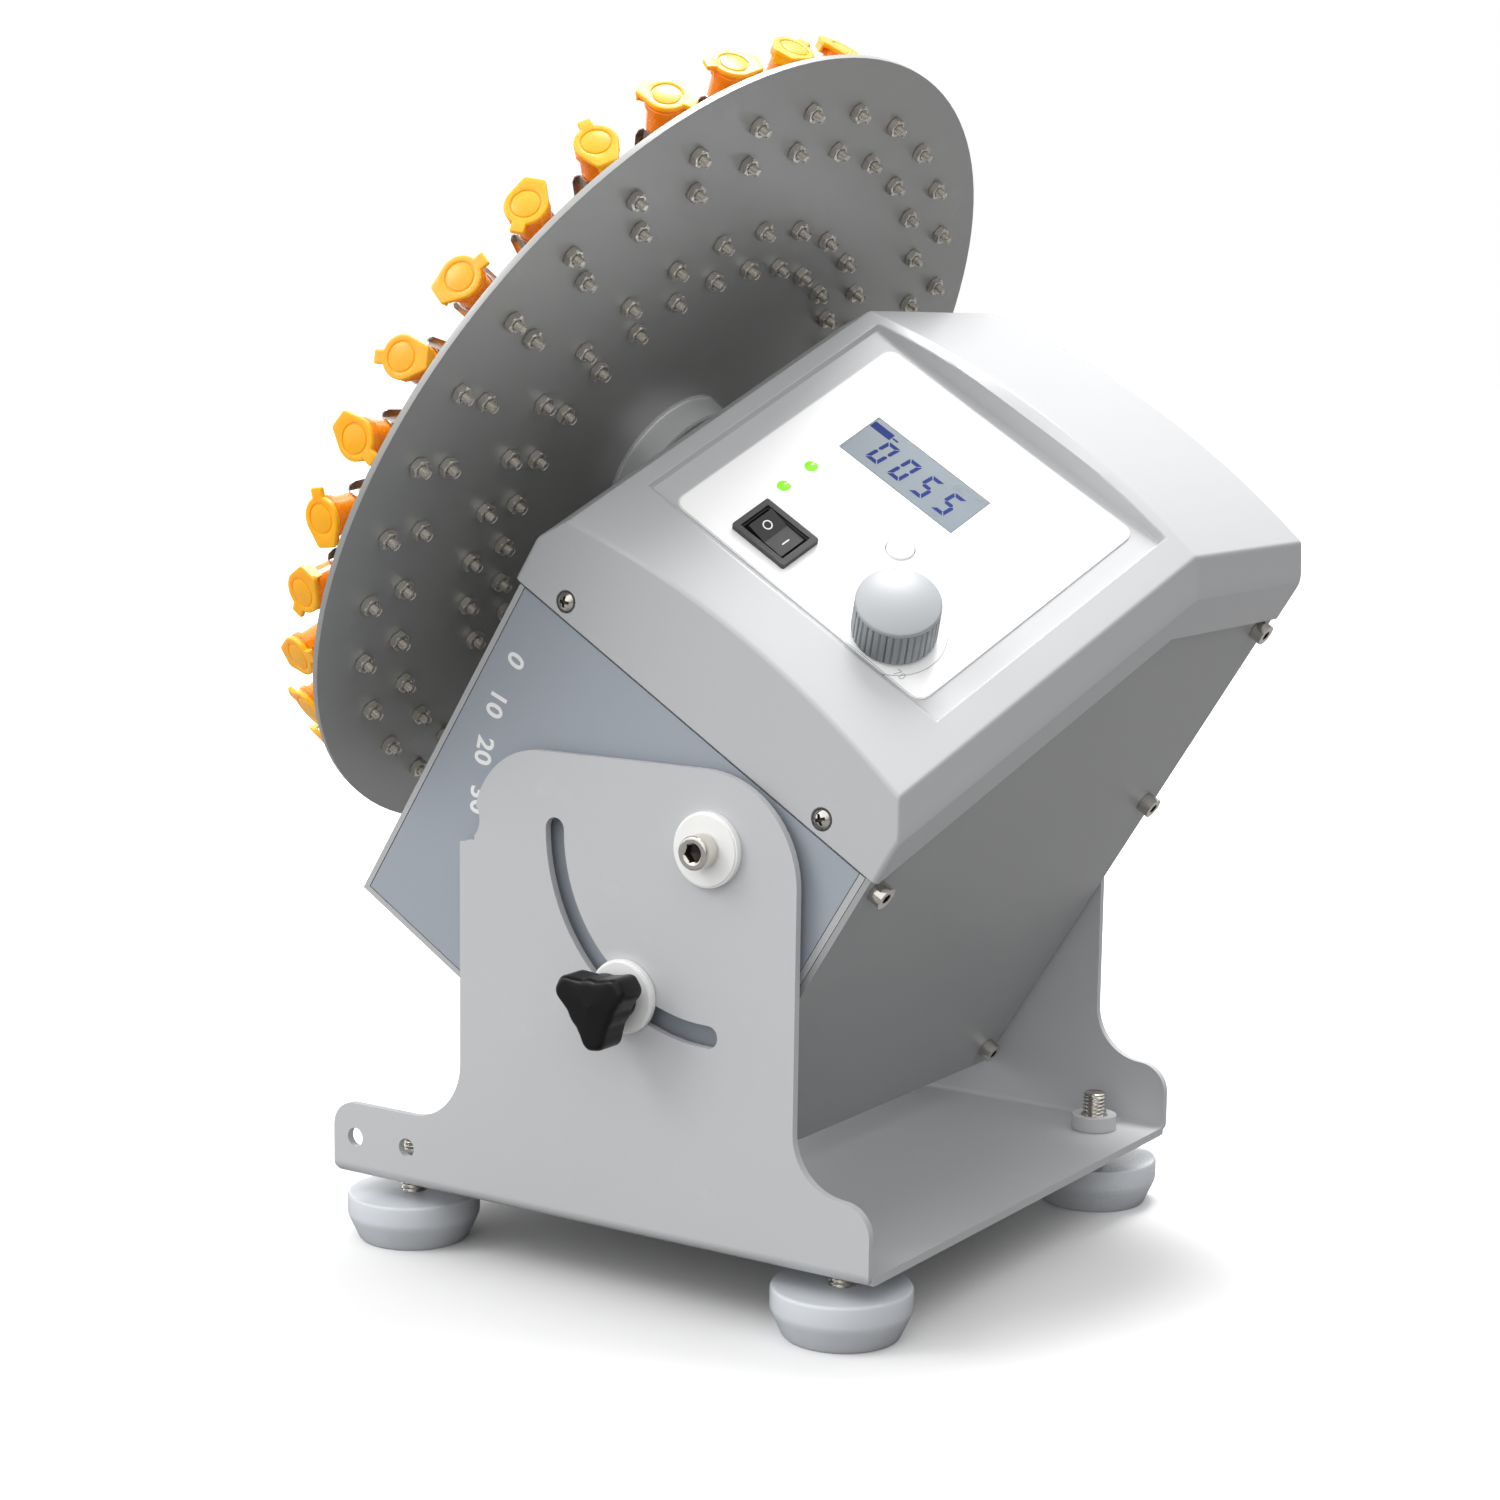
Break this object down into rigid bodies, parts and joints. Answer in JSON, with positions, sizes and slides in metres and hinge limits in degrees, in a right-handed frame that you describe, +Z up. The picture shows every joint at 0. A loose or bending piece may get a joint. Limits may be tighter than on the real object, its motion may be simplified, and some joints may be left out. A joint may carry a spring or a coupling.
{
  "type": "tube rotator",
  "caption": "Tilting disc rotator for small lab tubes: drive head with a sloped control panel on a U bracket with levelling feet and a curved angle slot.",
  "frame": {"origin": "floor level, under the middle of the whole machine's box at rest", "axes": "+Z up, +X from the disc towards the head's back plate, the angle scale and the clamp knob face -Y"},
  "size_m": [0.2754, 0.2906, 0.376],
  "materials": {
    "painted_grey": "satin powder coat",
    "light_paint": "satin powder coat",
    "slate_paint": "fine satin",
    "cover_plastic": "fine satin",
    "foot_plastic": "semi-gloss",
    "nylon_white": "smooth",
    "black_plastic": "fine grain",
    "knob_grey": "satin",
    "film_white": "satin film",
    "button_white": "satin",
    "display_glass": "clear",
    "display_grey": "matte",
    "lamp_green": "clear green",
    "steel": "zinc plated",
    "stainless": "turned",
    "spring_steel": "rolled spring steel",
    "hub_aluminium": "turned",
    "housing_aluminium": "as machined",
    "gear_nylon": "moulded",
    "brass": "turned",
    "board_green": "solder mask",
    "motor_steel": "plated",
    "tube_yellow": "translucent polypropylene"
  },
  "bodies": {
    "base": {"bracket": "painted_grey", "thread_bosses": "painted_grey", "pivot_bushes": "nylon_white"},
    "head": {"pivot_spacers": "nylon_white", "chassis": "light_paint", "side_panel_near": "slate_paint", "side_panel_far": "slate_paint", "back_plate": "light_paint", "back_plate_screws": "steel", "top_cover": "cover_plastic", "cover_screws": "steel", "cover_brackets": "steel", "panel_film": "film_white", "lcd_window": "display_glass", "lcd_module": "display_grey", "led_lenses": "lamp_green", "rocker_housing": "black_plastic", "knob_potentiometer": "display_grey", "control_board": "board_green", "board_standoffs": "brass", "drive_board": "board_green", "dc_inlet": "black_plastic", "pivot_blocks": "housing_aluminium", "pivot_screws": "stainless", "tilt_washer": "nylon_white", "tilt_stud": "stainless", "bearing_housing": "housing_aluminium", "bearings": "stainless", "housing_screws": "stainless", "motor_bracket": "steel", "gear_motor": "motor_steel"},
    "disc": {"spindle": "stainless", "drive_gear": "gear_nylon", "disc_hub": "hub_aluminium", "hub_screws": "stainless", "disc_plate": "painted_grey", "outer_clips": "spring_steel", "inner_clips": "spring_steel", "clip_screws": "steel", "clip_nuts": "steel", "outer_tubes": "tube_yellow", "inner_tubes": "tube_yellow"},
    "pinion": {"motor_pinion": "brass"},
    "rocker": {"rocker_paddle": "black_plastic"},
    "button": {"mode_button": "button_white"},
    "speed_knob": {"control_knob": "knob_grey", "knob_shaft": "stainless"},
    "clamp_knob": {"tilt_knob": "black_plastic"},
    "foot_front_left": {"foot_pad_front_left": "foot_plastic", "foot_stud_front_left": "stainless"},
    "foot_front_right": {"foot_pad_front_right": "foot_plastic", "foot_stud_front_right": "stainless"},
    "foot_rear_left": {"foot_pad_rear_left": "foot_plastic", "foot_stud_rear_left": "stainless"},
    "foot_rear_right": {"foot_pad_rear_right": "foot_plastic", "foot_stud_rear_right": "stainless"}
  },
  "joints": [
    {"name": "head_tilt", "type": "hinge", "parent": "base", "child": "head", "pos_m": [0.04001, 0, 0.1408], "axis": [0, 1, 0], "range_deg": [-31.8, 58.2]},
    {"name": "disc_spin", "type": "hinge", "parent": "head", "child": "disc", "pos_m": [-0.02069, 0, 0.23021], "axis": [0.8499, 0, -0.527], "continuous": true},
    {"name": "pinion_spin", "type": "hinge", "parent": "head", "child": "pinion", "pos_m": [-0.00888, 0, 0.17582], "axis": [0.8499, 0, -0.527], "continuous": true},
    {"name": "rocker_switch", "type": "hinge", "parent": "head", "child": "rocker", "pos_m": [0.03494, -0.05829, 0.22656], "axis": [0.3007, 0.8211, 0.485], "range_deg": [-18, 0]},
    {"name": "mode_press", "type": "slide", "parent": "head", "child": "button", "axis": [0.4327, -0.5707, 0.6979], "range_m": [-0.0006, 0], "stiffness_N_per_m": 300},
    {"name": "speed_turn", "type": "hinge", "parent": "head", "child": "speed_knob", "pos_m": [0.07859, -0.06219, 0.20549], "axis": [0.4327, -0.5707, 0.6979], "range_deg": [-150, 150]},
    {"name": "clamp_turn", "type": "hinge", "parent": "head", "child": "clamp_knob", "pos_m": [0.01108, -0.108, 0.09414], "axis": [0, 1, 0], "range_deg": [-20, 360]},
    {"name": "level_front_left", "type": "slide", "parent": "base", "child": "foot_front_left", "axis": [0, 0, 1], "range_m": [-0.004, 0.005]},
    {"name": "level_front_right", "type": "slide", "parent": "base", "child": "foot_front_right", "axis": [0, 0, 1], "range_m": [-0.004, 0.005]},
    {"name": "level_rear_left", "type": "slide", "parent": "base", "child": "foot_rear_left", "axis": [0, 0, 1], "range_m": [-0.004, 0.005]},
    {"name": "level_rear_right", "type": "slide", "parent": "base", "child": "foot_rear_right", "axis": [0, 0, 1], "range_m": [-0.004, 0.005]}
  ],
  "couplings": [
    {"joint": "pinion_spin", "follows": "disc_spin", "ratio": -3}
  ]
}
